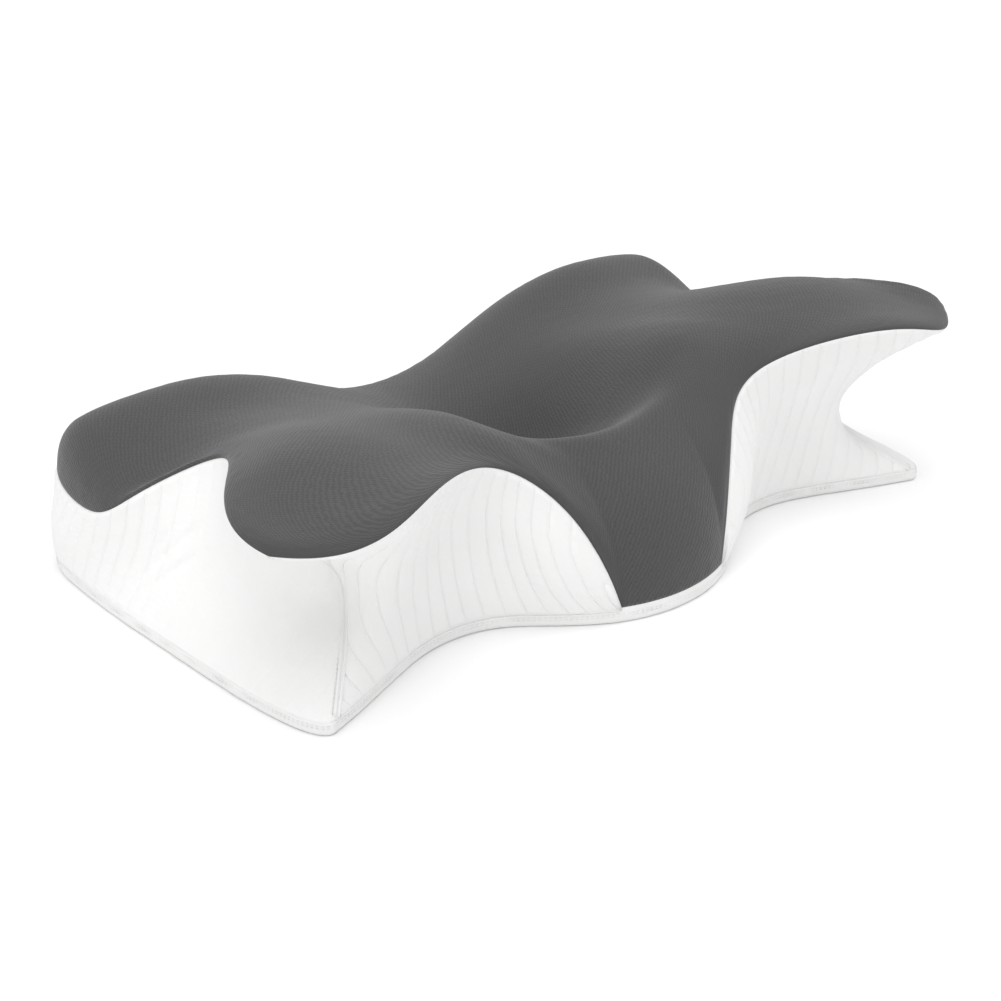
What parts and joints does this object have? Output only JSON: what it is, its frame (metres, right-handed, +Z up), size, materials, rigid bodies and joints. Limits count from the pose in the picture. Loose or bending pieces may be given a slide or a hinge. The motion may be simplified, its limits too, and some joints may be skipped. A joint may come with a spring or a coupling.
{
  "type": "cervical pillow",
  "caption": "Butterfly-shaped memory-foam neck pillow with a raised neck roll, a head hollow, side wings and a zipped, quilted cover.",
  "frame": {"origin": "middle of the bounding box seen from above, on the ground that the pillow lies on", "axes": "+Z up; +X along the width, to the right when looking along +Y from the neck edge; -Y towards the neck edge, where the tongue hangs; +Y towards the back edge with the zip"},
  "size_m": [0.6024, 0.3513, 0.144],
  "materials": {
    "memory_foam": "open-cell polyurethane memory foam, matt",
    "liner_jersey": "thin white jersey",
    "grey_knit": "dark grey wavy-rib knit with a soft sheen",
    "white_knit": "plain white knit",
    "quilted_knit": "white knit quilted in narrow upright channels",
    "seam_binding": "turned white seam with a double row of stitching",
    "zip_tape": "woven white polyester tape",
    "zip_teeth": "moulded white nylon",
    "zip_metal": "nickel-plated zinc"
  },
  "bodies": {
    "pillow": {"back_side_panel": "quilted_knit", "base_panel": "white_knit", "corner_seam_left": "seam_binding", "corner_seam_right": "seam_binding", "end_panel_left": "quilted_knit", "end_panel_right": "quilted_knit", "foam_core": "memory_foam", "front_side_panel_left": "quilted_knit", "front_side_panel_right": "quilted_knit", "liner_body": "liner_jersey", "liner_top": "liner_jersey", "top_panel": "grey_knit", "zip_bottom_stop": "zip_metal", "zip_tape_lower": "zip_tape", "zip_tape_upper": "zip_tape", "zip_teeth_lower": "zip_teeth", "zip_teeth_upper": "zip_teeth", "zip_top_stops": "zip_metal"},
    "zip_slider_body": {"zip_slider": "zip_metal"},
    "zip_pull_body": {"zip_pull": "zip_metal"}
  },
  "joints": [
    {"name": "zip_slide", "type": "slide", "parent": "pillow", "child": "zip_slider_body", "axis": [-1, 0, 0], "range_m": [0, 0.342]},
    {"name": "zip_pull_hinge", "type": "hinge", "parent": "zip_slider_body", "child": "zip_pull_body", "pos_m": [0.171, 0.1735, 0.015], "axis": [0, 0, -1], "range_deg": [0, 170]}
  ]
}
